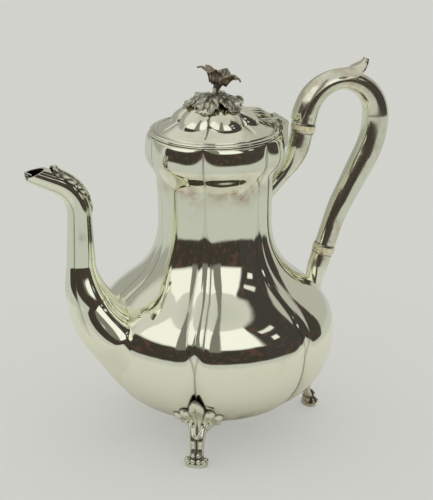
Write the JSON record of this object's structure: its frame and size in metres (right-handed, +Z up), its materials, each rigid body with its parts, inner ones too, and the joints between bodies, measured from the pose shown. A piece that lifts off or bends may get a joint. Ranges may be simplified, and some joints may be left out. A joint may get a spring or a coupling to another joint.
{
  "type": "coffee pot",
  "caption": "Lobed silver coffee pot on leaf feet, with a swan-neck spout, an insulated loop handle and a hinged lid with a flower finial.",
  "frame": {"origin": "on the vessel's upright axis, at table level under the feet", "axes": "+Z up; +X towards the handle and the lid's hinge, -X towards the spout; mirror-symmetric about the XZ plane"},
  "size_m": [0.2349, 0.1504, 0.2366],
  "materials": {
    "polished_silver": "polished, with fine wear and tarnish",
    "cast_silver": "polished casting, dark in its recesses",
    "handle_silver": "polished, worn by handling",
    "plain_silver": "plain, dull in its joints",
    "insulator_bone": "satin bone"
  },
  "bodies": {
    "pot": {"body": "polished_silver", "bottom_plate": "plain_silver", "spout_near_half": "polished_silver", "spout_far_half": "polished_silver", "spout_leaf": "cast_silver", "handle_grip": "handle_silver", "upper_socket": "handle_silver", "lower_socket": "handle_silver", "upper_insulator": "insulator_bone", "lower_insulator": "insulator_bone", "upper_grip_pin": "plain_silver", "upper_socket_pin": "plain_silver", "lower_grip_pin": "plain_silver", "lower_socket_pin": "plain_silver", "thumb_leaf": "cast_silver", "hinge_strap": "plain_silver", "hinge_pin": "plain_silver", "handle_foot": "cast_silver", "far_foot": "cast_silver", "near_foot": "cast_silver"},
    "lid": {"lid": "polished_silver", "lid_bezel": "polished_silver", "finial_leaves": "cast_silver", "finial_flower": "cast_silver", "finial_stud": "plain_silver", "finial_washer": "plain_silver", "finial_nut": "plain_silver", "lid_knuckle": "plain_silver", "hinge_shell": "cast_silver"}
  },
  "joints": [
    {"name": "lid_hinge", "type": "hinge", "parent": "pot", "child": "lid", "pos_m": [0.0428, 0, 0.1968], "axis": [0, 1, 0], "range_deg": [0, 80]}
  ]
}
